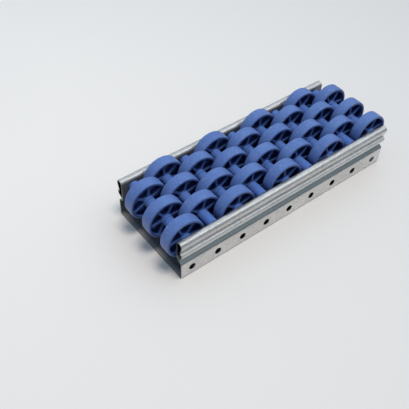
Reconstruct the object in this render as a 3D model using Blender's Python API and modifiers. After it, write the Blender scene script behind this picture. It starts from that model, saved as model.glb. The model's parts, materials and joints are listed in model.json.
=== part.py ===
"""Roller track section.

A folded steel channel carries staggered rows of spoked plastic wheels, which turn on plain steel axles. Each
side of the channel ends in a hollow rail bead. The axle ends sit in holes in the bead's inner wall, and its
outer skin, with a shallow groove pressed into it, keeps them from sliding out. Every row holds the same
wheels, and every second row is turned end for end, so that its treads run between those of its neighbours.

X runs along the track, Y across it and Z up. The origin is under the middle of the track, on the surface that
it stands on.
"""
import math

import bmesh
import bpy
from mathutils import Matrix, Vector

MM = 0.001

# Rows of wheels
ROW_COUNT = 9
WHEELS_PER_ROW = 3
END_MARGIN = 10.3 * MM

# Wheel
WHEEL_DIAMETER = 34.2 * MM
RIM_WALL = 2.2 * MM
TREAD_EDGE = 0.8 * MM
HUB_DIAMETER = 9.0 * MM
HUB_CHAMFER = 0.6 * MM
SPOKE_COUNT = 6
SPOKE_THICKNESS = 1.5 * MM
SPOKE_RECESS = 1.6 * MM
SPOKE_ROOT = 0.6 * MM

# Gaps around the wheels
TREAD_TO_HUB_GAP = 3.4 * MM
TREAD_GAP = 1.9 * MM
HUB_GAP = 0.3 * MM
HUB_END_PLAY = 1.0 * MM

# Axle
AXLE_DIAMETER = 4.0 * MM
AXLE_CHAMFER = 0.4 * MM
RUNNING_CLEARANCE = 0.3 * MM
AXLE_END_GAP = 0.4 * MM

# Channel, from the bottom up
SHEET = 1.0 * MM
RAIL_WIDTH = 86.0 * MM
LOWER_WALL_HEIGHT = 16.8 * MM
LOWER_WALL_SET_BACK = 0.6 * MM
LEDGE_RISE = 3.4 * MM
RECESS_HEIGHT = 7.4 * MM
BEAD_HEIGHT = 15.8 * MM
BEAD_DEPTH = 6.5 * MM
GROOVE_DEPTH = 1.8 * MM
# The groove's place down the bead, and how far its slopes reach up and down the skin
GROOVE_DROP_SHARE = 0.54
GROOVE_UPPER_SHARE = 0.88
GROOVE_LOWER_SHARE = 0.7
LIP_CLEARANCE = 0.5 * MM
AXLE_DROP = 7.2 * MM
HOLE_DIAMETER = 6.0 * MM

# Bend radii on the middle of the sheet
CORNER_BEND = 1.3 * MM
LEDGE_BEND = 1.4 * MM
BEAD_BEND = 1.0 * MM
GROOVE_BEND = 2.0 * MM

# How far a cutter runs past what it cuts, and how near two points must be to count as one
OVERRUN = 1.0 * MM
MERGE_DISTANCE = 0.01 * MM

# Facets. The rim and the hub have whole facets per spoke, so that each spoke meets the middle of one.
RIM_SIDES = 3 * SPOKE_COUNT
HUB_SIDES = 2 * SPOKE_COUNT
AXLE_SIDES = 12
HOLE_SIDES = 12
BEND_STEPS = 3
DOME_STEPS = 8
SMOOTH_ANGLE = math.radians(32)
CHAMFERED_ANGLE = math.radians(60)

# Rest angle of the spokes of each wheel, from the near rail to the far one, for the two rows at the open end.
# The wheels of the other rows follow at a steady turn.
OPEN_END_TURNS_DEG = ((55.0, 3.0, 25.0), (17.0, 14.0, 40.0))
TURN_STEP_DEG = 23.0

# Sizes worked out from those above
WHEEL_RADIUS = WHEEL_DIAMETER / 2
HUB_RADIUS = HUB_DIAMETER / 2
AXLE_RADIUS = AXLE_DIAMETER / 2
BORE_RADIUS = AXLE_RADIUS + RUNNING_CLEARANCE
ROW_PITCH = WHEEL_RADIUS + TREAD_TO_HUB_GAP + HUB_RADIUS
TRACK_LENGTH = (ROW_COUNT - 1) * ROW_PITCH + 2 * END_MARGIN
RAIL_HEIGHT = LOWER_WALL_HEIGHT + RECESS_HEIGHT + BEAD_HEIGHT
AXLE_HEIGHT = RAIL_HEIGHT - AXLE_DROP
INNER_WIDTH = RAIL_WIDTH - 2 * BEAD_DEPTH
WHEEL_PITCH = (INNER_WIDTH - 2 * HUB_END_PLAY + HUB_GAP) / WHEELS_PER_ROW
HUB_LENGTH = WHEEL_PITCH - HUB_GAP
TREAD_WIDTH = WHEEL_PITCH / 2 - TREAD_GAP
# With the rim this far from the hub's short end, two neighbouring rows stand half a wheel pitch apart.
RIM_OFFSET = WHEEL_PITCH / 4 - HUB_GAP / 2
AXLE_LENGTH = RAIL_WIDTH - 2 * (GROOVE_DEPTH + SHEET + AXLE_END_GAP)

PARTS = "roller_track"
CUTTERS = "roller_track_cutters"


def clear_scene():
    """Remove every object that the file opened with."""
    for leftover in list(bpy.data.objects):
        bpy.data.objects.remove(leftover, do_unlink=True)


def make_collection(name, shown):
    """Return a new collection in the scene. Guides and cutters aren't shown in renders."""
    collection = bpy.data.collections.new(name)
    collection.hide_render = not shown
    bpy.context.scene.collection.children.link(collection)
    return collection


def make_material(name, colour, roughness, metallic):
    """Return a plain Principled material."""
    material = bpy.data.materials.new(name)
    material.use_nodes = True
    shader = material.node_tree.nodes["Principled BSDF"]
    shader.inputs["Base Color"].default_value = (*colour, 1.0)
    shader.inputs["Roughness"].default_value = roughness
    shader.inputs["Metallic"].default_value = metallic
    material.diffuse_color = (*colour, 1.0)
    return material


def add_object(name, mesh, collection):
    """Link an object with the given mesh into a collection."""
    piece = bpy.data.objects.new(name, mesh)
    collection.objects.link(piece)
    return piece


def mesh_from(bm, name):
    """Turn a bmesh into a mesh data block."""
    mesh = bpy.data.meshes.new(name)
    bm.to_mesh(mesh)
    bm.free()
    return mesh


def baked(piece, name):
    """Return the mesh that an object's modifiers give."""
    bpy.context.view_layer.update()
    evaluated = piece.evaluated_get(bpy.context.evaluated_depsgraph_get())
    mesh = bpy.data.meshes.new_from_object(evaluated)
    mesh.name = name
    return mesh


def round_shading(mesh):
    """Shade the round surfaces smooth and keep the real edges sharp."""
    mesh.shade_smooth()
    mesh.set_sharp_from_angle(angle=SMOOTH_ANGLE)


def add_boolean(piece, other, operation):
    """Cut or join a piece with another object."""
    modifier = piece.modifiers.new(operation.lower(), 'BOOLEAN')
    modifier.operation = operation
    modifier.solver = 'EXACT'
    modifier.object = other
    return modifier


def polar(radius, angle):
    """Return a point of a circle about the origin."""
    return Vector((radius * math.cos(angle), radius * math.sin(angle)))


def rounded_corner(before, corner, after, radius, steps):
    """Return the points of an arc that rounds the corner between two straight runs."""
    to_before = (before - corner).normalized()
    to_after = (after - corner).normalized()
    half_angle = to_before.angle(to_after) / 2
    reach = radius / math.tan(half_angle)
    centre = corner + (to_before + to_after).normalized() * radius / math.sin(half_angle)
    start = corner + to_before * reach - centre
    end = corner + to_after * reach - centre
    turn = start.angle_signed(end)
    first = math.atan2(start.y, start.x)
    return [centre + polar(radius, first - turn * step / steps) for step in range(steps + 1)]


def bent_path(corners):
    """Return the points of a bent sheet: (point, bend radius) pairs, with no radius at the ends."""
    points = [corners[0][0]]
    for (before, _), (corner, radius), (after, _) in zip(corners, corners[1:], corners[2:]):
        points += rounded_corner(before, corner, after, radius, BEND_STEPS)
    points.append(corners[-1][0])
    return points


def half_section():
    """Return the middle line of the sheet in one half of the channel, as points of Y and Z.

    It runs from the middle of the web out to the lower wall, up the wall and in over the ledge, up the inner
    wall, round the dome and down the grooved outer skin, to the lip that closes the bead from below.
    """
    outer_face = -RAIL_WIDTH / 2
    wall = outer_face + LOWER_WALL_SET_BACK + SHEET / 2
    skin = outer_face + SHEET / 2
    inner_wall = outer_face + BEAD_DEPTH - SHEET / 2
    dome_radius = (inner_wall - skin) / 2
    dome_centre = Vector(((inner_wall + skin) / 2, RAIL_HEIGHT - SHEET / 2 - dome_radius))
    neck_height = LOWER_WALL_HEIGHT + LEDGE_RISE
    bead_bottom = RAIL_HEIGHT - BEAD_HEIGHT + SHEET / 2
    groove_height = RAIL_HEIGHT - GROOVE_DROP_SHARE * BEAD_HEIGHT
    groove_top = groove_height + GROOVE_UPPER_SHARE * (dome_centre.y - groove_height)
    groove_foot = groove_height - GROOVE_LOWER_SHARE * (groove_height - bead_bottom)
    lip_end = Vector((inner_wall - SHEET - LIP_CLEARANCE, neck_height + SHEET + LIP_CLEARANCE))

    lower = bent_path([
        (Vector((0, SHEET / 2)), 0),
        (Vector((wall, SHEET / 2)), CORNER_BEND),
        (Vector((wall, LOWER_WALL_HEIGHT)), LEDGE_BEND),
        (Vector((inner_wall, neck_height)), LEDGE_BEND),
        (Vector((inner_wall, dome_centre.y)), 0),
    ])
    dome = [dome_centre + polar(dome_radius, math.pi * step / DOME_STEPS) for step in range(1, DOME_STEPS)]
    upper = bent_path([
        (Vector((skin, dome_centre.y)), 0),
        (Vector((skin, groove_top)), GROOVE_BEND),
        (Vector((skin + GROOVE_DEPTH, groove_height)), GROOVE_BEND),
        (Vector((skin, groove_foot)), GROOVE_BEND),
        (Vector((skin, bead_bottom)), BEAD_BEND),
        (lip_end, 0),
    ])
    return lower + dome + upper


def round_bar(bm, radius, length, sides):
    """Add a closed round bar along Z, centred on the origin."""
    return bmesh.ops.create_cone(
        bm, cap_ends=True, segments=sides, radius1=radius, radius2=radius, depth=length)


def cylinders_across(name, places, radius, length, collection):
    """Return a cutter of round bars across the track, one at each (X, Z) place."""
    bm = bmesh.new()
    across = Matrix.Rotation(-math.pi / 2, 3, 'X')
    for x, z in places:
        made = round_bar(bm, radius, length, HOLE_SIDES)
        bmesh.ops.rotate(bm, verts=made["verts"], cent=(0, 0, 0), matrix=across)
        bmesh.ops.translate(bm, verts=made["verts"], vec=(x, 0, z))
    cutter = add_object(name, mesh_from(bm, name), collection)
    cutter.hide_render = True
    cutter.display_type = 'WIRE'
    return cutter


def row_places():
    """Return the X of every row, from the open end on."""
    first = -TRACK_LENGTH / 2 + END_MARGIN
    return [first + row * ROW_PITCH for row in range(ROW_COUNT)]


def build_channel(parts, cutters, material):
    """Bend the sheet, then punch the fixing holes low in its sides and the axle holes high in its beads."""
    bm = bmesh.new()
    start = -TRACK_LENGTH / 2
    line = [bm.verts.new((start, point.x, point.y)) for point in half_section()]
    edges = [bm.edges.new(pair) for pair in zip(line, line[1:])]
    drawn = bmesh.ops.extrude_edge_only(bm, edges=edges)
    far_end = [item for item in drawn["geom"] if isinstance(item, bmesh.types.BMVert)]
    bmesh.ops.translate(bm, verts=far_end, vec=(TRACK_LENGTH, 0, 0))
    sheet = add_object("sheet", mesh_from(bm, "sheet"), cutters)

    mirror = sheet.modifiers.new("other half", 'MIRROR')
    mirror.use_axis = (False, True, False)
    mirror.merge_threshold = MERGE_DISTANCE
    solidify = sheet.modifiers.new("sheet", 'SOLIDIFY')
    solidify.thickness = SHEET
    solidify.offset = 0
    solidify.use_even_offset = True

    fixing = [(x, LOWER_WALL_HEIGHT / 2) for x in row_places()]
    fixing_length = RAIL_WIDTH + 2 * OVERRUN
    fixing_holes = cylinders_across("fixing_holes", fixing, HOLE_DIAMETER / 2, fixing_length, cutters)
    add_boolean(sheet, fixing_holes, 'DIFFERENCE')

    axles = [(x, AXLE_HEIGHT) for x in row_places()]
    seat_length = INNER_WIDTH + 2 * (SHEET + OVERRUN)
    axle_holes = cylinders_across("axle_holes", axles, BORE_RADIUS, seat_length, cutters)
    add_boolean(sheet, axle_holes, 'DIFFERENCE')

    mesh = baked(sheet, "channel")
    bpy.data.objects.remove(sheet, do_unlink=True)
    mesh.materials.append(material)
    round_shading(mesh)
    return add_object("channel", mesh, parts)


def turned(name, outline, sides, collection):
    """Return a ring turned about Z from a closed outline of (radius, height) points.

    The outline runs down its outside. It stands half a facet back, so that the middle of a facet lies on +X.
    """
    bm = bmesh.new()
    start = polar(1, -math.pi / sides)
    loop = [bm.verts.new((radius * start.x, radius * start.y, height)) for radius, height in outline]
    for first, second in zip(loop, loop[1:] + loop[:1]):
        bm.edges.new((first, second))
    ring = add_object(name, mesh_from(bm, name), collection)
    screw = ring.modifiers.new("turn", 'SCREW')
    screw.axis = 'Z'
    screw.steps = sides
    screw.render_steps = sides
    screw.use_merge_vertices = True
    screw.merge_threshold = MERGE_DISTANCE
    return ring


def rim_ring(collection):
    """Return the wheel's rim, with softened tread edges, centred on its own middle."""
    half_width = TREAD_WIDTH / 2
    inner = WHEEL_RADIUS - RIM_WALL
    outline = [
        (WHEEL_RADIUS - TREAD_EDGE, half_width),
        (WHEEL_RADIUS, half_width - TREAD_EDGE),
        (WHEEL_RADIUS, TREAD_EDGE - half_width),
        (WHEEL_RADIUS - TREAD_EDGE, -half_width),
        (inner, -half_width),
        (inner, half_width),
    ]
    return turned("rim", outline, RIM_SIDES, collection)


def hub_tube(collection):
    """Return the hub: a short end on one side of the rim, and a long one that reaches the next wheel."""
    low = -RIM_OFFSET
    high = HUB_LENGTH - RIM_OFFSET
    outline = [
        (HUB_RADIUS - HUB_CHAMFER, high),
        (HUB_RADIUS, high - HUB_CHAMFER),
        (HUB_RADIUS, low),
        (BORE_RADIUS, low),
        (BORE_RADIUS, high),
    ]
    return turned("hub", outline, HUB_SIDES, collection)


def spoke_plates(collection):
    """Return the spokes as separate plates, each rooted in the hub's wall and in the rim's wall."""
    inner = HUB_RADIUS - SPOKE_ROOT
    outer = WHEEL_RADIUS - RIM_WALL + SPOKE_ROOT
    depth = TREAD_WIDTH - 2 * SPOKE_RECESS
    bm = bmesh.new()
    for spoke in range(SPOKE_COUNT):
        made = bmesh.ops.create_cube(bm, size=1)
        bmesh.ops.scale(bm, verts=made["verts"], vec=(outer - inner, SPOKE_THICKNESS, depth))
        bmesh.ops.translate(bm, verts=made["verts"], vec=((outer + inner) / 2, 0, 0))
        turn = Matrix.Rotation(2 * math.pi * spoke / SPOKE_COUNT, 3, 'Z')
        bmesh.ops.rotate(bm, verts=made["verts"], cent=(0, 0, 0), matrix=turn)
    return add_object("spokes", mesh_from(bm, "spokes"), collection)


def wheel_mesh(cutters):
    """Join rim, hub and spokes into one moulding and return its mesh, with the axle's line along Z."""
    rim = rim_ring(cutters)
    hub = hub_tube(cutters)
    spokes = spoke_plates(cutters)
    add_boolean(hub, spokes, 'UNION')
    add_boolean(rim, hub, 'UNION')
    mesh = baked(rim, "wheel")
    for builder in (rim, hub, spokes):
        bpy.data.objects.remove(builder, do_unlink=True)
    return mesh


def axle_mesh():
    """Return a plain round bar along Z, as long as the beads allow."""
    bm = bmesh.new()
    round_bar(bm, AXLE_RADIUS, AXLE_LENGTH, AXLE_SIDES)
    return mesh_from(bm, "axle")


def rest_turn(row, place):
    """Return the angle at which a wheel's spokes stand at rest."""
    if row < len(OPEN_END_TURNS_DEG) and place < len(OPEN_END_TURNS_DEG[row]):
        return math.radians(OPEN_END_TURNS_DEG[row][place])
    return math.radians(TURN_STEP_DEG * (row * WHEELS_PER_ROW + place))


def build_row(row, x, shared, parts):
    """Place one axle and its wheels. Every second row is turned end for end."""
    direction = 1 if row % 2 == 0 else -1
    line = bpy.data.objects.new(f"row_{row + 1}_line", None)
    line.location = (x, 0, AXLE_HEIGHT)
    line.rotation_euler = (-direction * math.pi / 2, 0, 0)
    parts.objects.link(line)

    axle = add_object(f"axle_{row + 1}", shared["axle"], parts)
    axle.parent = line
    bevel = axle.modifiers.new("end chamfer", 'BEVEL')
    bevel.width = AXLE_CHAMFER
    bevel.segments = 1
    bevel.limit_method = 'ANGLE'
    bevel.angle_limit = CHAMFERED_ANGLE

    first = -(WHEELS_PER_ROW * WHEEL_PITCH - HUB_GAP) / 2 + RIM_OFFSET
    for step in range(WHEELS_PER_ROW):
        place = step if direction == 1 else WHEELS_PER_ROW - 1 - step
        wheel = add_object(f"wheel_{row + 1}_{place + 1}", shared["wheel"], parts)
        wheel.parent = line
        wheel.location = (0, 0, first + step * WHEEL_PITCH)
        wheel.rotation_euler = (0, 0, -direction * rest_turn(row, place))


def main():
    """Build the channel and every row."""
    clear_scene()
    parts = make_collection(PARTS, True)
    cutters = make_collection(CUTTERS, False)
    zinc = make_material("zinc_coated_steel", (0.62, 0.64, 0.64), 0.34, 0.9)
    bright_steel = make_material("bright_axle_steel", (0.55, 0.55, 0.56), 0.28, 1.0)
    blue = make_material("blue_moulded_plastic", (0.07, 0.15, 0.46), 0.42, 0.0)

    build_channel(parts, cutters, zinc)
    shared = {"wheel": wheel_mesh(cutters), "axle": axle_mesh()}
    shared["wheel"].materials.append(blue)
    shared["axle"].materials.append(bright_steel)
    for mesh in shared.values():
        round_shading(mesh)
    for row, x in enumerate(row_places()):
        build_row(row, x, shared, parts)


main()
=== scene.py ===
"""Looks of a roller track section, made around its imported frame.

The frame gives the places and the outer sizes. Each class holds the sizes of one sub-assembly, builds its
fine mesh and puts it in place of the frame's plain solids: a folded channel of zinc-coated sheet, a drawn
axle in each row, and the moulded wheels that turn on the axles. A studio lights them on a pale floor.

X runs along the track, Y across it and Z up. Everything is in metres.
"""
import json
import logging
import math
from dataclasses import dataclass, field
from enum import Enum

import bmesh
import bpy
from mathutils import Matrix, Vector

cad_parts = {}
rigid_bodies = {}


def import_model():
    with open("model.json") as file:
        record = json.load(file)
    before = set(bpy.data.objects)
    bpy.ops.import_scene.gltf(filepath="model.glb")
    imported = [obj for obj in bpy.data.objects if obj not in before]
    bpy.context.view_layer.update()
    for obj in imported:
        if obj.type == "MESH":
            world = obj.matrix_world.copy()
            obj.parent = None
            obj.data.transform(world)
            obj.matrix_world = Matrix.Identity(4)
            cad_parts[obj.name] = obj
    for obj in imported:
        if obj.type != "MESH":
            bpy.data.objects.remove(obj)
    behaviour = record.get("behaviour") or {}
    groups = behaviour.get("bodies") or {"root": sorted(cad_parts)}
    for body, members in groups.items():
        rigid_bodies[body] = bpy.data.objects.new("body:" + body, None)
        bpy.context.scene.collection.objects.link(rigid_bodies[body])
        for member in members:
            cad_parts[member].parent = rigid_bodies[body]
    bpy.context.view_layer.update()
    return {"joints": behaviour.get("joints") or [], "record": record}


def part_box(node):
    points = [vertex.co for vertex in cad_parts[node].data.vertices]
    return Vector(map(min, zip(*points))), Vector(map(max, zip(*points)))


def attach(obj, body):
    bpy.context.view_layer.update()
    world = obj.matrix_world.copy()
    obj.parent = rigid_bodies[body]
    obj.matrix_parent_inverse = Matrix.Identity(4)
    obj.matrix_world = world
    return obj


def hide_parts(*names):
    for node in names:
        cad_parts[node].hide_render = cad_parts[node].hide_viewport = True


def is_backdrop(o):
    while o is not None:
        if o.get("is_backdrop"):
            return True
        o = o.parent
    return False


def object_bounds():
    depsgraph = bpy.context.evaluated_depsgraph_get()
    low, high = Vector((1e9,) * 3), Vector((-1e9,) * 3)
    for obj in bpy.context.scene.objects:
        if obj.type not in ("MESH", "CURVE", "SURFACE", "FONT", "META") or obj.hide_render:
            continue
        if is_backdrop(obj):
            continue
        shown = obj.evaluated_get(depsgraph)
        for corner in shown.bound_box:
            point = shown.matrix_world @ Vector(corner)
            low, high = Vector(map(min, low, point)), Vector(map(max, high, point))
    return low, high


MM = 0.001
LOG = logging.getLogger("roller_track")

Colour = tuple[float, float, float]
Span = tuple[float, float]
Socket = bpy.types.NodeSocket


class Operation(Enum):
    """What a second solid does to a first one."""

    CUT = 'DIFFERENCE'
    JOIN = 'UNION'


class SheetFace(Enum):
    """The faces of the channel's sheet, as the order of their finishes.

    The side that faces the wheels goes on over the beads to the skins. The side that faces the floor goes on
    over the outside of the lower walls and into the hollow of the beads.
    """

    FLOOR_SIDE = 0
    CUT_EDGE = 1
    WHEELS_SIDE = 2


class LongHub(Enum):
    """The rail towards which a wheel's long hub end points, as the sign of Y."""

    NEAR_RAIL = -1
    FAR_RAIL = 1


@dataclass(frozen=True)
class Corner:
    """A corner of an outline in its own plane, with the radius that rounds it."""

    across: float
    up: float
    radius: float = 0.0

    @property
    def point(self) -> Vector:
        """The corner before it is rounded."""
        return Vector((self.across, self.up))

    def rounded(self, before: "Corner", after: "Corner", steps: int) -> list[Vector]:
        """Round the corner.

        Args:
            before: The corner that the outline comes from.
            after: The corner that it goes on to.
            steps: The number of straight pieces in the arc.

        Returns:
            The points of the arc, in the outline's order.
        """
        to_before = (before.point - self.point).normalized()
        to_after = (after.point - self.point).normalized()
        half_angle = to_before.angle(to_after) / 2
        reach = self.radius / math.tan(half_angle)
        centre = self.point + (to_before + to_after).normalized() * self.radius / math.sin(half_angle)
        start = self.point + to_before * reach - centre
        end = self.point + to_after * reach - centre
        turn = start.angle_signed(end)
        first = math.atan2(start.y, start.x)
        return [centre + polar(self.radius, first - turn * step / steps) for step in range(steps + 1)]


def polar(radius: float, angle: float) -> Vector:
    """Return a point of a circle about the origin of a plane."""
    return Vector((radius * math.cos(angle), radius * math.sin(angle)))


def outline(corners: list[Corner], steps: int, closed: bool) -> list[Vector]:
    """Round the corners of an outline.

    Args:
        corners: The corners in order.
        steps: The number of straight pieces in each rounded corner.
        closed: Whether the last corner leads back to the first.

    Returns:
        The points in order, with no point repeated at the end of a closed outline.
    """
    count = len(corners)
    points = []
    for index, corner in enumerate(corners):
        is_end = not closed and index in (0, count - 1)
        if corner.radius == 0 or is_end:
            points.append(corner.point)
        else:
            points += corner.rounded(corners[index - 1], corners[(index + 1) % count], steps)
    return points


def add_object(name: str, mesh: bpy.types.Mesh) -> bpy.types.Object:
    """Link a new object with the given mesh into the scene and return it."""
    piece = bpy.data.objects.new(name, mesh)
    bpy.context.scene.collection.objects.link(piece)
    return piece


def mesh_from(bm: bmesh.types.BMesh, name: str) -> bpy.types.Mesh:
    """Turn a bmesh into a mesh data block and free it."""
    mesh = bpy.data.meshes.new(name)
    bm.to_mesh(mesh)
    bm.free()
    return mesh


def plain_mesh(piece: bpy.types.Object, name: str) -> bpy.types.Mesh:
    """Return what an object's modifiers give, as a mesh with no modifiers, and remove the object.

    Args:
        piece: The object that is used up.
        name: The new mesh's name.

    Returns:
        The evaluated mesh.
    """
    bpy.context.view_layer.update()
    evaluated = piece.evaluated_get(bpy.context.evaluated_depsgraph_get())
    mesh = bpy.data.meshes.new_from_object(evaluated)
    mesh.name = name
    bpy.data.objects.remove(piece, do_unlink=True)
    return mesh


def combine(piece: bpy.types.Object, other: bpy.types.Object, operation: Operation) -> None:
    """Cut or join a piece with another, whose own finish stays on the faces that it leaves.

    Args:
        piece: The object that is changed.
        other: The object that cuts it or joins it.
        operation: What is done.
    """
    modifier = piece.modifiers.new(operation.name.lower(), 'BOOLEAN')
    modifier.operation = operation.value
    modifier.solver = 'EXACT'
    modifier.material_mode = 'TRANSFER'
    modifier.object = other


def soften_edges(piece: bpy.types.Object, width: float, segments: int, least_angle: float) -> None:
    """Break the edges of a piece that are sharper than an angle.

    Args:
        piece: The object whose edges are broken.
        width: How far the break reaches from each edge.
        segments: The number of faces across it.
        least_angle: The least angle between two faces that counts as an edge.
    """
    bevel = piece.modifiers.new("broken edges", 'BEVEL')
    bevel.width = width
    bevel.segments = segments
    bevel.limit_method = 'ANGLE'
    bevel.angle_limit = least_angle


def shade(mesh: bpy.types.Mesh, least_angle: float) -> None:
    """Shade the round surfaces of a mesh smooth and keep edges over an angle sharp."""
    mesh.shade_smooth()
    mesh.set_sharp_from_angle(angle=least_angle)


class NodeSketch:
    """Adds nodes to one tree. Its methods take plain numbers and the outputs of other nodes alike."""

    def __init__(self, tree: bpy.types.NodeTree) -> None:
        """Start on a tree."""
        self.tree = tree

    def add(self, kind: str, **settings: str) -> bpy.types.Node:
        """Add a node and set its properties.

        Args:
            kind: The node's type name.
            **settings: Its properties and their values.

        Returns:
            The new node.
        """
        node = self.tree.nodes.new(kind)
        for name, value in settings.items():
            setattr(node, name, value)
        return node

    def feed(self, target: Socket, value: object) -> None:
        """Give an input its value, or link it to another node's output."""
        if isinstance(value, Socket):
            self.tree.links.new(value, target)
        else:
            target.default_value = value

    def work_out(self, operation: str, *values: object) -> Socket:
        """Add a sum of one or two numbers and return its result."""
        node = self.add('ShaderNodeMath', operation=operation)
        for target, value in zip(node.inputs, values):
            self.feed(target, value)
        return node.outputs[0]

    def vector(self, x: object, y: object, z: object) -> Socket:
        """Join three numbers into a vector."""
        node = self.add('ShaderNodeCombineXYZ')
        for target, value in zip(node.inputs, (x, y, z)):
            self.feed(target, value)
        return node.outputs[0]

    def parts_of(self, vector: Socket) -> list[Socket]:
        """Split a vector into its three numbers."""
        node = self.add('ShaderNodeSeparateXYZ')
        self.feed(node.inputs[0], vector)
        return list(node.outputs)

    def rescale(self, value: Socket, taken: Span, given: Span = (0.0, 1.0)) -> Socket:
        """Stretch a number from one span to another, and stop at the ends.

        Args:
            value: The number.
            taken: The span that it comes in.
            given: The span that it goes out in.

        Returns:
            The stretched number.
        """
        node = self.add('ShaderNodeMapRange')
        for name, number in zip(("From Min", "From Max", "To Min", "To Max"), taken + given):
            node.inputs[name].default_value = number
        self.feed(node.inputs["Value"], value)
        return node.outputs["Result"]

    def vector_sum(self, operation: str, first: object, second: object = None) -> bpy.types.Node:
        """Add a sum of one or two vectors, or of a vector and its scale, and return its node."""
        node = self.add('ShaderNodeVectorMath', operation=operation)
        self.feed(node.inputs[0], first)
        if second is not None:
            self.feed(node.inputs["Scale"] if operation == 'SCALE' else node.inputs[1], second)
        return node

    def blend(self, share: Socket, first: object, second: object) -> Socket:
        """Mix two colours.

        Args:
            share: The second colour's share.
            first: A colour or a colour output.
            second: The other one.

        Returns:
            The mixed colour.
        """
        node = self.add('ShaderNodeMix', data_type='RGBA')
        colours = [socket for socket in node.inputs if socket.type == 'RGBA']
        self.feed(node.inputs["Factor"], share)
        for target, value in zip(colours, (first, second)):
            self.feed(target, (*value, 1.0) if isinstance(value, tuple) else value)
        return next(socket for socket in node.outputs if socket.type == 'RGBA')


class Recipe(NodeSketch):
    """A geometry tree with named inputs, which sets copies of one shape in a row or a ring."""

    def __init__(self, name: str, **sizes: float) -> None:
        """Start a tree with one named input for each size, and one for the finish.

        Args:
            name: The tree's name.
            **sizes: The inputs' names and the values that they start with.
        """
        super().__init__(bpy.data.node_groups.new(name, 'GeometryNodeTree'))
        front = self.tree.interface
        self.inputs = {}
        for label, value in sizes.items():
            kind = 'NodeSocketInt' if isinstance(value, int) else 'NodeSocketFloat'
            self.inputs[label] = front.new_socket(label, in_out='INPUT', socket_type=kind)
            self.inputs[label].default_value = value
        self.inputs["finish"] = front.new_socket("finish", in_out='INPUT', socket_type='NodeSocketMaterial')
        front.new_socket("Geometry", in_out='OUTPUT', socket_type='NodeSocketGeometry')
        self.given = self.add('NodeGroupInput').outputs

    def serve(self, shape: Socket, places: Socket, turn: Socket) -> None:
        """End the tree: set the shape at each place, make the copies real and give them the finish.

        Args:
            shape: The shape that is copied.
            places: The points that take a copy.
            turn: How each copy is turned, as Euler angles.
        """
        copies = self.add('GeometryNodeInstanceOnPoints')
        self.feed(copies.inputs["Points"], places)
        self.feed(copies.inputs["Instance"], shape)
        self.feed(copies.inputs["Rotation"], turn)
        real = self.add('GeometryNodeRealizeInstances')
        self.feed(real.inputs["Geometry"], copies.outputs["Instances"])
        dressed = self.add('GeometryNodeSetMaterial')
        self.feed(dressed.inputs["Geometry"], real.outputs["Geometry"])
        self.feed(dressed.inputs["Material"], self.given["finish"])
        self.feed(self.add('NodeGroupOutput').inputs["Geometry"], dressed.outputs["Geometry"])

    def make(self, name: str, finish: bpy.types.Material, **sizes: float) -> bpy.types.Object:
        """Run the tree once.

        Args:
            name: The name of the object that is made.
            finish: The material of its faces.
            **sizes: The inputs that differ from the tree's own values.

        Returns:
            A new object with a plain mesh and no modifiers.
        """
        host = add_object(name, bpy.data.meshes.new(name))
        modifier = host.modifiers.new(name, 'NODES')
        modifier.node_group = self.tree
        for label, value in (sizes | {"finish": finish}).items():
            modifier[self.inputs[label].identifier] = value
        return add_object(name, plain_mesh(host, name))


def bars_across() -> Recipe:
    """Return the recipe for a row of round bars along X, each one lying along Y."""
    recipe = Recipe(
        "bars across", count=1, first_x=0.0, pitch=0.01, height=0.0, radius=0.001, length=0.01, sides=12)
    given = recipe.given
    line = recipe.add('GeometryNodeMeshLine', mode='OFFSET')
    recipe.feed(line.inputs["Count"], given["count"])
    recipe.feed(line.inputs["Start Location"], recipe.vector(given["first_x"], 0.0, given["height"]))
    recipe.feed(line.inputs["Offset"], recipe.vector(given["pitch"], 0.0, 0.0))
    bar = recipe.add('GeometryNodeMeshCylinder', fill_type='NGON')
    recipe.feed(bar.inputs["Vertices"], given["sides"])
    recipe.feed(bar.inputs["Radius"], given["radius"])
    recipe.feed(bar.inputs["Depth"], given["length"])
    quarter_turn = recipe.vector(-math.pi / 2, 0.0, 0.0)
    recipe.serve(bar.outputs["Mesh"], line.outputs["Mesh"], quarter_turn)
    return recipe


def spoke_star() -> Recipe:
    """Return the recipe for a ring of flat spokes about Z, which widen where they run into hub and rim."""
    stations = 18
    flare_power = 7.0
    recipe = Recipe("spoke star", count=6, inner=0.004, outer=0.015, thickness=0.0015, depth=0.007, flare=1.0)
    given = recipe.given
    span = recipe.work_out('SUBTRACT', given["outer"], given["inner"])
    middle = recipe.work_out('MULTIPLY', recipe.work_out('ADD', given["outer"], given["inner"]), 0.5)

    plate = recipe.add('GeometryNodeMeshCube')
    recipe.feed(plate.inputs["Size"], recipe.vector(span, given["thickness"], given["depth"]))
    recipe.feed(plate.inputs["Vertices X"], stations)
    x, y, z = recipe.parts_of(recipe.add('GeometryNodeInputPosition').outputs["Position"])
    reach = recipe.work_out('DIVIDE', recipe.work_out('ABSOLUTE', x), recipe.work_out('MULTIPLY', span, 0.5))
    growth = recipe.work_out('MULTIPLY', recipe.work_out('POWER', reach, flare_power), given["flare"])
    wider = recipe.work_out('MULTIPLY', y, recipe.work_out('ADD', growth, 1.0))
    flared = recipe.add('GeometryNodeSetPosition')
    recipe.feed(flared.inputs["Geometry"], plate.outputs["Mesh"])
    recipe.feed(flared.inputs["Position"], recipe.vector(x, wider, z))

    ring = recipe.add('GeometryNodeMeshCircle')
    recipe.feed(ring.inputs["Vertices"], given["count"])
    recipe.feed(ring.inputs["Radius"], middle)
    step = recipe.work_out('DIVIDE', 2 * math.pi, given["count"])
    turn = recipe.work_out('MULTIPLY', recipe.add('GeometryNodeInputIndex').outputs["Index"], step)
    recipe.serve(flared.outputs["Geometry"], ring.outputs["Mesh"], recipe.vector(0.0, 0.0, turn))
    return recipe


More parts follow.
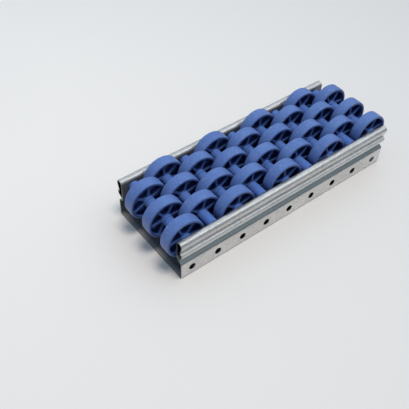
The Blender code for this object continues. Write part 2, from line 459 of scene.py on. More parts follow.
@dataclass(frozen=True)
class Pattern:
    """A noise pattern: its repeats in one unit along each axis, and the number of finer layers in it."""

    along_x: float
    along_y: float
    along_z: float
    detail: float


class Paint(NodeSketch):
    """A material in the making, with one Principled shader."""

    noise_roughness = 0.55

    def __init__(self, name: str, metallic: float) -> None:
        """Start a material that is metal (1) or not (0)."""
        self.material = bpy.data.materials.new(name)
        self.material.use_nodes = True
        super().__init__(self.material.node_tree)
        self.shader = self.tree.nodes["Principled BSDF"]
        self.shader.inputs["Metallic"].default_value = metallic
        self.place = self.add('ShaderNodeTexCoord').outputs["Object"]

    def noise(self, pattern: Pattern, source: Socket | None = None) -> Socket:
        """Add noise, stretched along the ways in which it repeats less often.

        Args:
            pattern: Its repeats and its detail.
            source: The coordinates that it follows, or None for the object's own.

        Returns:
            The noise, from 0 to 1 and mostly near 0.5.
        """
        mapping = self.add('ShaderNodeMapping')
        mapping.inputs["Scale"].default_value = (pattern.along_x, pattern.along_y, pattern.along_z)
        self.feed(mapping.inputs["Vector"], source or self.place)
        node = self.add('ShaderNodeTexNoise')
        node.inputs["Scale"].default_value = 1.0
        node.inputs["Detail"].default_value = pattern.detail
        node.inputs["Roughness"].default_value = self.noise_roughness
        self.feed(node.inputs["Vector"], mapping.outputs["Vector"])
        return node.outputs["Fac"]

    def layered(self, layers: tuple[Socket, ...], shares: tuple[float, ...]) -> Socket:
        """Add several patterns up, each one times its own share."""
        total = None
        for layer, share in zip(layers, shares):
            part = self.work_out('MULTIPLY', layer, share)
            total = part if total is None else self.work_out('ADD', total, part)
        return total

    def relief(self, *layers: tuple[Socket, float]) -> None:
        """Give the surface small relief: each layer is a pattern and its height in metres."""
        normal = None
        for pattern, height in layers:
            node = self.add('ShaderNodeBump')
            node.inputs["Distance"].default_value = height
            self.feed(node.inputs["Height"], pattern)
            if normal is not None:
                self.feed(node.inputs["Normal"], normal)
            normal = node.outputs["Normal"]
        self.feed(self.shader.inputs["Normal"], normal)

    def surface(self, colour: Socket, roughness: Socket) -> bpy.types.Material:
        """Finish the material with its colour and roughness and return it."""
        self.feed(self.shader.inputs["Base Color"], colour)
        self.feed(self.shader.inputs["Roughness"], roughness)
        return self.material


@dataclass(frozen=True)
class ZincSheet:
    """The rolled face of zinc-coated sheet: mottled in short blotches, with fine streaks along its length."""

    face: SheetFace
    dull: Colour = (0.505, 0.505, 0.505)
    bright: Colour = (0.745, 0.74, 0.73)
    metallic: float = 0.74
    dull_metallic: float = 0.10
    roughness: Span = (0.13, 0.23)
    blotches: Pattern = Pattern(320.0, 760.0, 760.0, 3.0)
    streaks: Pattern = Pattern(14.0, 1200.0, 1200.0, 3.0)
    clouds: Pattern = Pattern(45.0, 90.0, 90.0, 4.0)
    grain: Pattern = Pattern(1500.0, 1900.0, 1900.0, 2.0)
    tone_shares: tuple[float, ...] = (0.58, 0.10, 0.32)
    tone_span: Span = (0.36, 0.64)
    gloss_shares: tuple[float, ...] = (0.35, 0.35, 0.30)
    gloss_span: Span = (0.32, 0.68)
    streak_height: float = 0.0008 * MM
    grain_height: float = 0.0018 * MM
    # Painted shade: a dark teal colour in the fold under each bead, where shade falls.
    painted_fold_shade: Colour = (0.075, 0.11, 0.125)
    fold_height: float = 19.4 * MM
    fold_reach: Span = (1.6 * MM, 4.4 * MM)
    fold_shade_share: float = 0.88
    # Painted shade: a near-black colour where the sheet faces the wheels, on the web, the lower walls and the
    # necks.
    painted_inside_shade: Colour = (0.028, 0.038, 0.055)
    inside_share: float = 0.93
    mottling_span: Span = (0.3, 0.7)
    thinnest_share: float = 0.85
    neck_side: Span = (36.6 * MM, 37.2 * MM)
    wall_side: Span = (41.6 * MM, 42.2 * MM)
    wall_top: Span = (16.5 * MM, 18.5 * MM)
    # Painted light: a strip at each end of the web where the painted shade is thinner, as if lit past the
    # wheels.
    lit_web_end: Span = (105.5 * MM, 108.5 * MM)
    lit_web_height: Span = (1.5 * MM, 3.0 * MM)
    lit_web_shade_share: float = 0.72
    # Painted shade: near black inside each bead's hollow, above the height where it starts.
    painted_hollow_shade: Colour = (0.010, 0.010, 0.012)
    hollow_shade_start: Span = (22.0 * MM, 24.0 * MM)

    def by_the_wheels(self, paint: Paint) -> Socket:
        """Return where the sheet faces the wheels, from 0 to 1: on the web, the lower walls and the necks."""
        place = paint.parts_of(paint.place)
        off_middle = paint.work_out('ABSOLUTE', place[1])
        on_necks = paint.rescale(off_middle, self.neck_side, (1.0, 0.0))
        off_skins = paint.rescale(off_middle, self.wall_side, (1.0, 0.0))
        on_walls = paint.work_out('MULTIPLY', off_skins, paint.rescale(place[2], self.wall_top, (1.0, 0.0)))
        return paint.work_out('MAXIMUM', on_necks, on_walls)

    def painted_shade_by_the_wheels(self, paint: Paint, region: Socket, mottling: Socket) -> Socket:
        """Return the share of painted shade by the wheels, thinner in spots and lighter on a strip at the
        web's ends.

        Args:
            paint: The material in the making.
            region: Where the sheet faces the wheels, from 0 to 1.
            mottling: A pattern from 0 to 1 that thins the painted shade.

        Returns:
            The painted shade's share.
        """
        place = paint.parts_of(paint.place)
        off_centre = paint.work_out('ABSOLUTE', place[0])
        # Painted light: the painted shade is thinner on a strip along the web's open ends.
        shade_on_lit_web = self.inside_share * self.lit_web_shade_share
        on_web = paint.rescale(off_centre, self.lit_web_end, (self.inside_share, shade_on_lit_web))
        above_web = paint.rescale(place[2], self.lit_web_height, (0.0, self.inside_share))
        shade_left = paint.work_out('MAXIMUM', on_web, above_web)
        thinned = paint.rescale(mottling, self.mottling_span, (self.thinnest_share, 1.0))
        return paint.work_out('MULTIPLY', region, paint.work_out('MULTIPLY', shade_left, thinned))

    def painted_shade_in_fold(self, paint: Paint) -> Socket:
        """Return the share of painted shade in the fold under each bead."""
        height = paint.parts_of(paint.place)[2]
        off_fold = paint.work_out('ABSOLUTE', paint.work_out('SUBTRACT', height, self.fold_height))
        return paint.rescale(off_fold, self.fold_reach, (self.fold_shade_share, 0.0))

    def material(self) -> bpy.types.Material:
        """Build the finish: mottled zinc with painted shade by the wheels, in the beads' hollows and in the
        folds under them; less metallic by the wheels and in the hollows.
        """
        paint = Paint(f"zinc-coated sheet {self.face.name.lower()}", self.metallic)
        blotches = paint.noise(self.blotches)
        streaks = paint.noise(self.streaks)
        clouds = paint.noise(self.clouds)
        grain = paint.noise(self.grain)
        tone = paint.rescale(paint.layered((blotches, streaks, clouds), self.tone_shares), self.tone_span)
        clean = paint.blend(tone, self.dull, self.bright)
        # Paint shade into the fold under each bead.
        outside = paint.blend(self.painted_shade_in_fold(paint), clean, self.painted_fold_shade)
        if self.face is SheetFace.WHEELS_SIDE:
            # Painted shade on the sheet by the wheels.
            region = self.by_the_wheels(paint)
            colour = paint.blend(self.painted_shade_by_the_wheels(paint, region, blotches), outside, self.painted_inside_shade)
        else:
            # Painted shade inside the beads' hollows, on the side that faces the floor.
            region = paint.rescale(paint.parts_of(paint.place)[2], self.hollow_shade_start)
            colour = paint.blend(region, outside, self.painted_hollow_shade)
        paint.feed(paint.shader.inputs["Metallic"],
                   paint.rescale(region, (0.0, 1.0), (self.metallic, self.dull_metallic)))
        gloss = paint.layered((clouds, blotches, grain), self.gloss_shares)
        paint.relief((streaks, self.streak_height), (grain, self.grain_height))
        return paint.surface(colour, paint.rescale(gloss, self.gloss_span, self.roughness))


@dataclass(frozen=True)
class BareSteel:
    """Uncoated steel with a fine grain, which runs along the piece where it was drawn."""

    name: str
    dark: Colour
    light: Colour
    roughness: Span
    grain: Pattern
    grain_height: float
    tone_span: Span = (0.35, 0.65)
    gloss_span: Span = (0.3, 0.7)

    def material(self) -> bpy.types.Material:
        """Build the finish."""
        paint = Paint(self.name, metallic=1.0)
        grain = paint.noise(self.grain)
        colour = paint.blend(paint.rescale(grain, self.tone_span), self.dark, self.light)
        paint.relief((grain, self.grain_height))
        return paint.surface(colour, paint.rescale(grain, self.gloss_span, self.roughness))


SHEARED_EDGE = BareSteel(
    "sheared sheet edge", dark=(0.10, 0.105, 0.11), light=(0.26, 0.27, 0.27), roughness=(0.38, 0.55),
    grain=Pattern(900.0, 2600.0, 2600.0, 3.0), grain_height=0.012 * MM)
DRAWN_BAR = BareSteel(
    "drawn axle bar", dark=(0.40, 0.40, 0.41), light=(0.60, 0.60, 0.60), roughness=(0.20, 0.36),
    grain=Pattern(2600.0, 30.0, 2600.0, 3.0), grain_height=0.008 * MM)


@dataclass(frozen=True)
class MouldedPlastic:
    """Blue moulded plastic: finely grained, with pale dust specks on the tread where boxes roll over it, and
    painted shade down in the mould inside the rim.
    """

    name: str
    rim_inside: float
    tread: float
    spoke_face: float
    sheen: float
    shine: float
    roughness: Span
    tread_reach: float = 2.6 * MM
    rim_fade: float = 0.5 * MM
    spoke_depth_shares: Span = (0.45, 1.2)
    sheen_tint: Colour = (0.80, 0.68, 0.92)
    # Painted shade: near-black navy down the rim's inside and the spokes' sides.
    deep_shade: Colour = (0.003, 0.009, 0.065)
    worn_dark: Colour = (0.067, 0.139, 0.395)
    worn_light: Colour = (0.099, 0.187, 0.462)
    dust: Colour = (0.45, 0.50, 0.62)
    dust_share: float = 0.7
    clouds: Pattern = Pattern(70.0, 70.0, 70.0, 3.0)
    mottles: Pattern = Pattern(380.0, 380.0, 380.0, 2.0)
    specks: Pattern = Pattern(900.0, 900.0, 900.0, 1.0)
    speck_span: Span = (0.71, 0.77)
    grain: Pattern = Pattern(2600.0, 2600.0, 2600.0, 2.0)
    grain_height: float = 0.009 * MM
    scuffs: Pattern = Pattern(5.0, 5.0, 2600.0, 2.0)
    scuff_height: float = 0.008 * MM
    tone_shares: tuple[float, ...] = (0.4, 0.35, 0.25)
    tone_span: Span = (0.38, 0.62)
    gloss_shares: tuple[float, ...] = (0.6, 0.4)
    gloss_span: Span = (0.3, 0.7)

    def material(self, place_name: str) -> bpy.types.Material:
        """Build the finish.

        Args:
            place_name: The attribute with a point's place in the moulding, where the axle's line is Z.

        Returns:
            The material.
        """
        paint = Paint(self.name, metallic=0.0)
        own_place = paint.add('ShaderNodeAttribute', attribute_name=place_name).outputs["Vector"]
        x, y, z = paint.parts_of(own_place)
        away = paint.vector(x, y, 0.0)
        radius = paint.vector_sum('LENGTH', away).outputs["Value"]
        around = paint.vector_sum('NORMALIZE', away).outputs["Vector"]
        height = paint.work_out('ADD', z, radius)
        roll = paint.vector_sum('ADD', around, paint.vector(0.0, 0.0, height)).outputs["Vector"]

        out = paint.work_out('ABSOLUTE', z)
        on_tread = paint.rescale(radius, (self.tread - self.tread_reach, self.tread))
        rim_span = (self.rim_inside - self.rim_fade, self.rim_inside + self.rim_fade)
        inside_rim = paint.rescale(radius, rim_span, (1.0, 0.0))
        on_face = paint.rescale(out, tuple(self.spoke_face * share for share in self.spoke_depth_shares))
        # Painted shade takes over from the plastic's own colour away from the tread and the faces.
        out_of_shade = paint.work_out('MAXIMUM', on_tread, paint.work_out('MULTIPLY', inside_rim, on_face))
        clouds = paint.noise(self.clouds)
        mottles = paint.noise(self.mottles)
        grain = paint.noise(self.grain)
        scuffs = paint.noise(self.scuffs, roll)
        tone = paint.layered((clouds, mottles, scuffs), self.tone_shares)
        worn = paint.blend(paint.rescale(tone, self.tone_span), self.worn_dark, self.worn_light)
        base = paint.blend(out_of_shade, self.deep_shade, worn)
        dusty = paint.rescale(paint.noise(self.specks), self.speck_span, (0.0, self.dust_share))
        paint.shader.inputs["Specular IOR Level"].default_value = self.shine
        paint.shader.inputs["Sheen Weight"].default_value = self.sheen
        paint.shader.inputs["Sheen Tint"].default_value = (*self.sheen_tint, 1.0)
        paint.relief((scuffs, self.scuff_height), (grain, self.grain_height))
        gloss = paint.layered((grain, scuffs), self.gloss_shares)
        colour = paint.blend(paint.work_out('MULTIPLY', dusty, on_tread), base, self.dust)
        return paint.surface(colour, paint.rescale(gloss, self.gloss_span, self.roughness))


@dataclass(frozen=True)
class PaleFloor:
    """A plain pale studio floor, which falls off slowly around its brightest place.

    What the metal mirrors of it is darker away from the track, as if the pale sheet ended there.
    """

    near: Colour = (0.775, 0.765, 0.75)
    far: Colour = (0.62, 0.62, 0.62)
    mirrored_far: Colour = (0.27, 0.28, 0.29)
    brightest: tuple[float, float, float] = (-0.20, 0.30, 0.0)
    fall_off: Span = (0.15, 0.65)
    mirrored_fall_off: Span = (52.0 * MM, 110.0 * MM)
    patches: Pattern = Pattern(60.0, 60.0, 60.0, 2.0)
    gloss_span: Span = (0.3, 0.7)
    roughness: Span = (0.58, 0.64)

    def material(self) -> bpy.types.Material:
        """Build the finish."""
        paint = Paint("pale floor", metallic=0.0)
        reach = paint.vector_sum('DISTANCE', paint.place, self.brightest).outputs["Value"]
        colour = paint.blend(paint.rescale(reach, self.fall_off), self.near, self.far)
        off_track = paint.work_out('ABSOLUTE', paint.parts_of(paint.place)[1])
        in_shine = paint.add('ShaderNodeLightPath').outputs["Is Glossy Ray"]
        dimmed = paint.work_out('MULTIPLY', in_shine, paint.rescale(off_track, self.mirrored_fall_off))
        seen = paint.blend(dimmed, colour, self.mirrored_far)
        return paint.surface(seen, paint.rescale(paint.noise(self.patches), self.gloss_span, self.roughness))


@dataclass(frozen=True)
class WheelSeat:
    """Where one wheel sits: its place in the rows, its centre, and the way it is turned."""

    node: str
    body: str
    row: int
    place: int
    centre: Vector
    long_hub: LongHub


@dataclass(frozen=True)
class TrackFrame:
    """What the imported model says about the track."""

    record: dict
    joints: list[dict]

    @property
    def root(self) -> str:
        """The body that holds the channel and the axles."""
        return self.joints[0]["parent"]

    @property
    def axle_nodes(self) -> list[str]:
        """The nodes of the axles."""
        return [node for node in self.record["behaviour"]["bodies"][self.root] if node.startswith("axle_")]

    @property
    def rows(self) -> list[float]:
        """The X of every row, from the open end on."""
        middles = [sum(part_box(node), Vector()) / 2 for node in self.axle_nodes]
        return sorted(middle.x for middle in middles)

    @property
    def row_places(self) -> dict[str, float]:
        """The number of rows, the first one's X and their pitch, as the recipe for bars takes them."""
        rows = self.rows
        return {"count": len(rows), "first_x": rows[0], "pitch": rows[1] - rows[0]}

    def seats(self) -> list[WheelSeat]:
        """Return the seat of every wheel, from its joint and the box of its node."""
        found = []
        for joint in self.joints:
            node = self.record["behaviour"]["bodies"][joint["child"]][0]
            row, place = (int(number) - 1 for number in node.split("_")[1:])
            centre = Vector(joint["pos_m"])
            low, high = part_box(node)
            reaches_far = high.y - centre.y > centre.y - low.y
            long_hub = LongHub.FAR_RAIL if reaches_far else LongHub.NEAR_RAIL
            found.append(WheelSeat(node, joint["child"], row, place, centre, long_hub))
        return found


def install(name: str, mesh: bpy.types.Mesh, body: str, nodes: list[str]) -> bpy.types.Object:
    """Put a finished mesh in the scene in place of the frame's plain nodes.

    Args:
        name: The piece's name.
        mesh: Its mesh, already in place.
        body: The body that it moves with.
        nodes: The nodes that it stands for.

    Returns:
        The piece.
    """
    piece = add_object(name, mesh)
    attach(piece, body)
    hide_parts(*nodes)
    triangles = sum(len(face.vertices) - 2 for face in mesh.polygons)
    LOG.info("%s rides on %s in place of %s: %d triangles", name, body, ", ".join(nodes), triangles)
    return piece


@dataclass
class FoldedChannel:
    """The channel, bent from one sheet: web, lower walls, ledges and two hollow beads, each with a groove."""

    sheet: float = 1.0 * MM
    lower_wall_height: float = 16.8 * MM
    lower_wall_set_back: float = 0.6 * MM
    ledge_rise: float = 3.4 * MM
    recess_height: float = 7.4 * MM
    bead_depth: float = 6.5 * MM
    groove_depth: float = 1.8 * MM
    groove_drop_share: float = 0.70
    groove_upper_share: float = 0.86
    groove_lower_share: float = 0.36
    lip_clearance: float = 0.5 * MM
    corner_bend: float = 1.3 * MM
    ledge_bend: float = 1.4 * MM
    bead_bend: float = 1.0 * MM
    groove_bend: float = 1.0 * MM
    fixing_hole: float = 6.0 * MM
    axle_hole: float = 4.6 * MM
    broken_edge: float = 0.12 * MM
    edge_segments: int = 2
    overrun: float = 1.0 * MM
    merge_distance: float = 0.01 * MM
    bend_steps: int = 7
    dome_steps: int = 24
    hole_sides: int = 48
    least_edge: float = math.radians(60)
    least_crease: float = math.radians(32)

    def middle_line(self, width: float, height: float) -> list[Vector]:
        """Draw the middle of the sheet in the near half of the channel.

        It runs from the middle of the web out to the lower wall, up and in over the ledge, up the inner wall,
        round the dome and down the grooved skin, to the lip that closes the bead from below.

        Args:
            width: The channel's width over its skins.
            height: Its height.

        Returns:
            The points, as Y and Z.
        """
        wall = -width / 2 + self.lower_wall_set_back + self.sheet / 2
        skin = -width / 2 + self.sheet / 2
        inner_wall = -width / 2 + self.bead_depth - self.sheet / 2
        dome_radius = (inner_wall - skin) / 2
        dome_centre = Vector(((inner_wall + skin) / 2, height - self.sheet / 2 - dome_radius))
        neck = self.lower_wall_height + self.ledge_rise
        bead_height = height - self.lower_wall_height - self.recess_height
        bead_bottom = height - bead_height + self.sheet / 2
        groove = height - self.groove_drop_share * bead_height
        groove_top = groove + self.groove_upper_share * (dome_centre.y - groove)
        groove_foot = groove - self.groove_lower_share * (groove - bead_bottom)
        lip_inset = self.sheet + self.lip_clearance
        lower = outline([
            Corner(0, self.sheet / 2),
            Corner(wall, self.sheet / 2, self.corner_bend),
            Corner(wall, self.lower_wall_height, self.ledge_bend),
            Corner(inner_wall, neck, self.ledge_bend),
            Corner(inner_wall, dome_centre.y),
        ], self.bend_steps, closed=False)
        dome = [dome_centre + polar(dome_radius, math.pi * step / self.dome_steps)
                for step in range(1, self.dome_steps)]
        upper = outline([
            Corner(skin, dome_centre.y),
            Corner(skin, groove_top, self.groove_bend),
            Corner(skin + self.groove_depth, groove, self.groove_bend),
            Corner(skin, groove_foot, self.groove_bend),
            Corner(skin, bead_bottom, self.bead_bend),
            Corner(inner_wall - lip_inset, neck + lip_inset),
        ], self.bend_steps, closed=False)
        return lower + dome + upper

    def folded_sheet(self, low: Vector, high: Vector,
                     finishes: dict[SheetFace, bpy.types.Material]) -> bpy.types.Object:
        """Bend the sheet, with the bare edge on its sheared ends.

        Args:
            low: The lowest corner of the channel's box.
            high: The highest one.
            finishes: The finish of each of the sheet's faces.

        Returns:
            The sheet, with live modifiers.
        """
        bm = bmesh.new()
        points = self.middle_line(high.y - low.y, high.z - low.z)
        line = [bm.verts.new((low.x, point.x, point.y)) for point in points]
        edges = [bm.edges.new(pair) for pair in zip(line, line[1:])]
        drawn = bmesh.ops.extrude_edge_only(bm, edges=edges)
        far_end = [item for item in drawn["geom"] if isinstance(item, bmesh.types.BMVert)]
        bmesh.ops.translate(bm, verts=far_end, vec=(high.x - low.x, 0, 0))
        sheet = add_object("sheet", mesh_from(bm, "sheet"))
        for face in SheetFace:
            sheet.data.materials.append(finishes[face])

        mirror = sheet.modifiers.new("other half", 'MIRROR')
        mirror.use_axis = (False, True, False)
        mirror.merge_threshold = self.merge_distance
        solidify = sheet.modifiers.new("sheet", 'SOLIDIFY')
        solidify.thickness = self.sheet
        solidify.offset = 0
        solidify.use_even_offset = True
        solidify.material_offset = SheetFace.WHEELS_SIDE.value
        solidify.material_offset_rim = SheetFace.CUT_EDGE.value
        return sheet

    def build(self, track: TrackFrame, bars: Recipe, finishes: dict[SheetFace, bpy.types.Material]) -> None:
        """Bend the sheet, punch its holes, break its edges and put it in place.

        Args:
            track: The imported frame.
            bars: The recipe for the punches.
            finishes: The finish of each of the sheet's faces.
        """
        low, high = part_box("channel")
        sheet = self.folded_sheet(low, high, finishes)
        edge = finishes[SheetFace.CUT_EDGE]
        axle_low, axle_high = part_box(track.axle_nodes[0])
        shared = track.row_places | {"sides": self.hole_sides}
        inner_width = high.y - low.y - 2 * self.bead_depth
        punches = [
            bars.make("fixing punches", edge, **shared, height=self.lower_wall_height / 2,
                      radius=self.fixing_hole / 2, length=high.y - low.y + 2 * self.overrun),
            bars.make("axle punches", edge, **shared, height=(axle_low.z + axle_high.z) / 2,
                      radius=self.axle_hole / 2, length=inner_width + 2 * (self.sheet + self.overrun)),
        ]
        for punch in punches:
            combine(sheet, punch, Operation.CUT)
        soften_edges(sheet, self.broken_edge, self.edge_segments, self.least_edge)
        mesh = plain_mesh(sheet, "folded channel")
        for punch in punches:
            bpy.data.objects.remove(punch, do_unlink=True)
        shade(mesh, self.least_crease)
        piece = install("folded_channel", mesh, track.root, ["channel"])
        weigh_normals(piece)


def weigh_normals(piece: bpy.types.Object) -> None:
    """Let the large faces of a piece set the shading of the small ones beside them."""
    weighted = piece.modifiers.new("weighted normals", 'WEIGHTED_NORMAL')
    weighted.keep_sharp = True


@dataclass
class AxleRods:
    """The axles: plain drawn bars with chamfered ends, which lie loose in the beads' inner walls."""

    radius: float = 2.0 * MM
    chamfer: float = 0.4 * MM
    chamfer_segments: int = 1
    sides: int = 48
    least_edge: float = math.radians(60)
    least_crease: float = math.radians(32)

    def build(self, track: TrackFrame, bars: Recipe, finish: bpy.types.Material) -> None:
        """Set one bar in each row.

        Args:
            track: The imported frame.
            bars: The recipe for the bars.
            finish: Their finish.
        """
        low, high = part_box(track.axle_nodes[0])
        rods = bars.make("axle rods", finish, **track.row_places, height=(low.z + high.z) / 2,
                         radius=self.radius, length=high.y - low.y, sides=self.sides)
        soften_edges(rods, self.chamfer, self.chamfer_segments, self.least_edge)
        mesh = plain_mesh(rods, "axle rods")
        shade(mesh, self.least_crease)
        install("axle_rods", mesh, track.root, track.axle_nodes)


@dataclass
class SpokedWheel:
    """One moulding: a crowned rim, six spokes and a hub tube that stands out further on one side."""

    radius: float = 17.1 * MM
    rim_wall: float = 2.2 * MM
    rim_width: float = 9.983 * MM
    crown: float = 0.05 * MM
    tread_edge: float = 0.9 * MM
    rim_draft: float = 0.3 * MM
    inner_edge: float = 0.3 * MM
    hub_radius: float = 4.5 * MM
    hub_draft: float = 0.15 * MM
    hub_edge: float = 0.25 * MM
    hub_short_edge: float = 0.2 * MM
    bore_radius: float = 2.3 * MM
    bore_edge: float = 0.15 * MM
    short_hub: float = 5.792 * MM
    long_hub: float = 17.675 * MM
    spoke_count: int = 6
    spoke_thickness: float = 1.8 * MM
    spoke_recess: float = 1.6 * MM
    spoke_root: float = 0.6 * MM
    spoke_flare: float = 1.4
    spoke_edge: float = 0.22 * MM
    rim_sides: int = 96
    hub_sides: int = 48
    edge_steps: int = 5
    edge_segments: int = 2
    merge_distance: float = 0.001 * MM
    least_edge: float = math.radians(60)
    least_crease: float = math.radians(34)
    open_end_turns: tuple[tuple[float, ...], ...] = ((55.0, 3.0, 25.0), (17.0, 14.0, 40.0))
    turn_step: float = 23.0
    place_name: str = "moulding_place"

    def rim(self) -> bpy.types.Object:
        """Turn the rim: a crowned tread with soft edges, and an inside that narrows to the spokes."""
        half_width = self.rim_width / 2
        inner = self.radius - self.rim_wall
        bed = half_width - self.spoke_recess
        return self.turned("rim", outline([
            Corner(self.radius - self.crown, half_width, self.tread_edge),
            Corner(self.radius, 0),
            Corner(self.radius - self.crown, -half_width, self.tread_edge),
            Corner(inner, -half_width, self.inner_edge),
            Corner(inner - self.rim_draft, -bed),
            Corner(inner - self.rim_draft, bed),
            Corner(inner, half_width, self.inner_edge),
        ], self.edge_steps, closed=True), self.rim_sides)

    def hub(self) -> bpy.types.Object:
        """Turn the hub: a tube that tapers a little towards its long end."""
        return self.turned("hub", outline([
            Corner(self.hub_radius - self.hub_draft, self.long_hub, self.hub_edge),
            Corner(self.hub_radius, -self.short_hub, self.hub_short_edge),
            Corner(self.bore_radius, -self.short_hub, self.bore_edge),
            Corner(self.bore_radius, self.long_hub, self.bore_edge),
        ], self.edge_steps, closed=True), self.hub_sides)

    def turned(self, name: str, points: list[Vector], sides: int) -> bpy.types.Object:
        """Turn a closed outline about Z.

        Args:
            name: The new object's name.
            points: The outline, as radius and height.
            sides: The number of facets round it.

        Returns:
            A closed ring.
        """
        bm = bmesh.new()
        loop = [bm.verts.new((point.x, 0, point.y)) for point in points]
        edges = [bm.edges.new(pair) for pair in zip(loop, loop[1:] + loop[:1])]
        bmesh.ops.spin(bm, geom=loop + edges, axis=(0, 0, 1), cent=(0, 0, 0), angle=2 * math.pi, steps=sides)
        bmesh.ops.remove_doubles(bm, verts=bm.verts, dist=self.merge_distance)
        bmesh.ops.recalc_face_normals(bm, faces=bm.faces)
        return add_object(name, mesh_from(bm, name))

    def spokes(self, star: Recipe, finish: bpy.types.Material) -> bpy.types.Object:
        """Make the ring of spokes, rooted in the hub's wall and in the rim's wall."""
        ring = star.make(
            "spokes", finish, count=self.spoke_count, inner=self.hub_radius - self.spoke_root,
            outer=self.radius - self.rim_wall + self.spoke_root, thickness=self.spoke_thickness,
            depth=self.rim_width - 2 * self.spoke_recess, flare=self.spoke_flare)
        soften_edges(ring, self.spoke_edge, self.edge_segments, self.least_edge)
        return add_object("spokes", plain_mesh(ring, "spokes"))

    def finishes(self) -> list[bpy.types.Material]:
        """Build two finishes: rubbed on the tread and the rim's faces, and matt inside the rim."""
        sizes = {"rim_inside": self.radius - self.rim_wall, "tread": self.radius,
                 "spoke_face": self.rim_width / 2 - self.spoke_recess}
        rubbed = MouldedPlastic("rubbed blue plastic", **sizes, sheen=0.09, shine=0.45,
                                roughness=(0.36, 0.52))
        # The matt copy's colours are a little bluer than the rubbed one's: painted blue bounce light inside
        # the rim.
        matt = MouldedPlastic("matt blue plastic", **sizes, sheen=0.0, shine=0.1, roughness=(0.55, 0.70),
                              worn_dark=(0.066, 0.142, 0.425), worn_light=(0.098, 0.188, 0.490))
        return [rubbed.material(self.place_name), matt.material(self.place_name)]

    def dress(self, mesh: bpy.types.Mesh, finishes: list[bpy.types.Material]) -> None:
        """Give the tread and the rim's faces the first finish, and all that lies inside them the second."""
        mesh.materials.clear()
        for finish in finishes:
            mesh.materials.append(finish)
        inside = self.radius - self.rim_wall + self.inner_edge
        for face in mesh.polygons:
            face.material_index = int(face.center.xy.length < inside)

    def mark(self, mesh: bpy.types.Mesh) -> None:
        """Store each point's place in the moulding, which its finish follows, in an attribute."""
        own_place = mesh.attributes.new(self.place_name, 'FLOAT_VECTOR', 'POINT')
        for vertex, stored in zip(mesh.vertices, own_place.data):
            stored.vector = vertex.co

    def moulding(self, star: Recipe, finishes: list[bpy.types.Material]) -> bpy.types.Mesh:
        """Join rim, hub and spokes into one mesh, centred on the rim with the axle's line along Z."""
        rim, hub, spokes = self.rim(), self.hub(), self.spokes(star, finishes[0])
        combine(hub, spokes, Operation.JOIN)
        combine(rim, hub, Operation.JOIN)
        mesh = plain_mesh(rim, "wheel")
        for used in (hub, spokes):
            bpy.data.objects.remove(used, do_unlink=True)
        shade(mesh, self.least_crease)
        self.mark(mesh)
        self.dress(mesh, finishes)
        return mesh

    def rest_turn(self, seat: WheelSeat) -> float:
        """Return the angle at which a wheel's spokes stand at rest."""
        if seat.row < len(self.open_end_turns):
            return math.radians(self.open_end_turns[seat.row][seat.place])
        wheels_per_row = len(self.open_end_turns[0])
        return math.radians(self.turn_step * (seat.row * wheels_per_row + seat.place))

    def build(self, track: TrackFrame, star: Recipe, finishes: list[bpy.types.Material]) -> None:
        """Put a wheel on every seat.

        Args:
            track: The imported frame.
            star: The recipe for the spokes.
            finishes: The finish outside the rim and the one inside it.
        """
        shared = self.moulding(star, finishes)
        for seat in track.seats():
            side = seat.long_hub.value
            lay_down = Matrix.Rotation(-side * math.pi / 2, 4, 'X')
            turn = Matrix.Rotation(-side * self.rest_turn(seat), 4, 'Z')
            mesh = shared.copy()
            mesh.transform(Matrix.Translation(seat.centre) @ lay_down @ turn)
            piece = install(f"spoked_{seat.node}", mesh, seat.body, [seat.node])
            weigh_normals(piece)


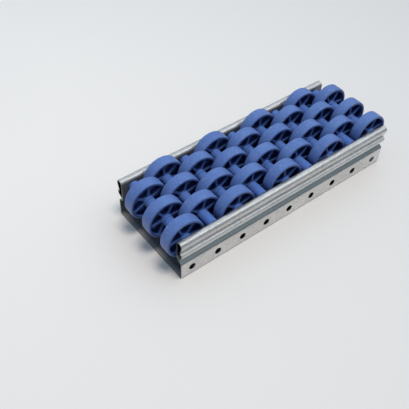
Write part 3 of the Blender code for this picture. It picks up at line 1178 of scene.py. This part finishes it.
@dataclass
class Studio:
    """A plain pale floor, a softbox almost overhead, pale light all round, a backdrop and the camera."""

    floor_size: float = 3.0
    floor_drop: float = 0.02 * MM
    key_place: Vector = field(default_factory=lambda: Vector((0.0, -0.40, 1.90)))
    key_aim: Vector = field(default_factory=lambda: Vector((-0.04, 0.0, 0.0)))
    key_size: Span = (0.52, 0.52)
    key_power: float = 21.8
    key_colour: Colour = (1.0, 0.88, 0.76)
    camera_place: Vector = field(default_factory=lambda: Vector((-282.64, -280.47, 398.99)) * MM)
    camera_aim: Vector = field(default_factory=lambda: Vector((-60.29, -5.73, 20.0)) * MM)
    camera_roll: float = math.radians(1.699)
    lens: float = 56.849
    sensor: float = 36.0
    sky_bands: tuple[tuple[float, Colour], ...] = (
        (0.09, (0.08, 0.11, 0.16)), (0.25, (0.42, 0.50, 0.58)), (0.70, (0.57, 0.675, 0.785)),
        (0.95, (0.69, 0.82, 0.96)))
    shine_tint: Colour = (0.88, 0.85, 0.81)
    bright_side: Vector = field(default_factory=lambda: Vector((1.0, 0.5, 0.0)))
    side_span: Span = (-0.6, 0.9)
    side_share: Span = (0.55, 1.35)
    window_way: Vector = field(default_factory=lambda: Vector((0.43, -0.42, 0.80)))
    window_span: Span = (0.91, 0.99)
    window_colour: Colour = (0.72, 0.75, 0.75)
    backdrop: Colour = (0.60, 0.61, 0.62)

    def lay_floor(self) -> None:
        """Lay the floor just under the track."""
        bm = bmesh.new()
        bmesh.ops.create_grid(bm, x_segments=1, y_segments=1, size=self.floor_size)
        bmesh.ops.translate(bm, verts=bm.verts, vec=(0, 0, -self.floor_drop))
        floor = add_object("studio_floor", mesh_from(bm, "studio floor"))
        floor.data.materials.append(PaleFloor().material())
        floor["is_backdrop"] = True

    def hang_key(self) -> None:
        """Hang the softbox that lights the track from almost overhead, unseen in the shine of the metal."""
        lamp = bpy.data.lights.new("softbox", 'AREA')
        lamp.shape = 'RECTANGLE'
        lamp.size, lamp.size_y = self.key_size
        lamp.energy = self.key_power
        lamp.color = self.key_colour
        box = bpy.data.objects.new("softbox", lamp)
        box.visible_glossy = False
        box.location = self.key_place
        box.rotation_euler = (self.key_aim - self.key_place).to_track_quat('-Z', 'Y').to_euler()
        bpy.context.scene.collection.objects.link(box)

    def light_round(self) -> None:
        """Light the track from all round: pale above, dark at the horizon, dimmer from the open end, and
        brightest at a wide soft window over the near rail's far end.

        The metal shows it a little dimmer and less blue than it lights, and the camera sees a pale backdrop.
        """
        world = bpy.data.worlds.new("studio")
        world.use_nodes = True
        bpy.context.scene.world = world
        sketch = NodeSketch(world.node_tree)
        way = sketch.add('ShaderNodeTexCoord').outputs["Generated"]
        bands = sketch.add('ShaderNodeValToRGB')
        sketch.feed(bands.inputs["Fac"], sketch.parts_of(way)[2])
        stops = bands.color_ramp.elements
        while len(stops) < len(self.sky_bands):
            stops.new(1.0)
        for stop, (height, colour) in zip(stops, self.sky_bands):
            stop.position = height
            stop.color = (*colour, 1.0)
        lean = sketch.vector_sum('DOT_PRODUCT', way, self.bright_side).outputs["Value"]
        share = sketch.rescale(lean, self.side_span, self.side_share)
        sky = sketch.vector_sum('SCALE', bands.outputs["Color"], share)
        near_window = sketch.vector_sum('DOT_PRODUCT', way, self.window_way.normalized()).outputs["Value"]
        window = sketch.vector_sum('SCALE', self.window_colour, sketch.rescale(near_window, self.window_span))
        both = sketch.vector_sum('ADD', sky.outputs["Vector"], window.outputs["Vector"])
        path = sketch.add('ShaderNodeLightPath').outputs
        tint = sketch.blend(path["Is Glossy Ray"], (1.0, 1.0, 1.0), self.shine_tint)
        lit = sketch.vector_sum('MULTIPLY', both.outputs["Vector"], tint).outputs["Vector"]
        seen = sketch.blend(path["Is Camera Ray"], lit, self.backdrop)
        sketch.feed(world.node_tree.nodes["Background"].inputs["Color"], seen)

    def set_camera(self) -> None:
        """Set the camera where the photograph was taken from."""
        lens = bpy.data.cameras.new("camera")
        lens.lens = self.lens
        lens.sensor_width = self.sensor
        camera = bpy.data.objects.new("camera", lens)
        look = (self.camera_aim - self.camera_place).to_track_quat('-Z', 'Y').to_matrix()
        turned = look @ Matrix.Rotation(self.camera_roll, 3, 'Z')
        camera.matrix_world = Matrix.Translation(self.camera_place) @ turned.to_4x4()
        bpy.context.scene.collection.objects.link(camera)
        bpy.context.scene.camera = camera

    def build(self) -> None:
        """Lay the floor, set the lights and the camera, and show colours as they are."""
        self.lay_floor()
        self.hang_key()
        self.light_round()
        self.set_camera()
        bpy.context.scene.view_settings.view_transform = 'Standard'


def corners() -> list[list[float]]:
    """Return the lowest and the highest corner of the object that is shown now."""
    return [list(corner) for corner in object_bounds()]


def main() -> None:
    """Build the channel, the axles, the wheels and the studio."""
    logging.basicConfig(level=logging.INFO, format="%(name)s: %(message)s")
    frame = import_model()
    track = TrackFrame(frame["record"], frame["joints"])
    bars = bars_across()
    wheel = SpokedWheel()
    finishes = {face: ZincSheet(face).material() for face in (SheetFace.WHEELS_SIDE, SheetFace.FLOOR_SIDE)}
    finishes[SheetFace.CUT_EDGE] = SHEARED_EDGE.material()
    FoldedChannel().build(track, bars, finishes)
    AxleRods().build(track, bars, DRAWN_BAR.material())
    wheel.build(track, spoke_star(), wheel.finishes())
    Studio().build()


if __name__ == "__main__":
    main()
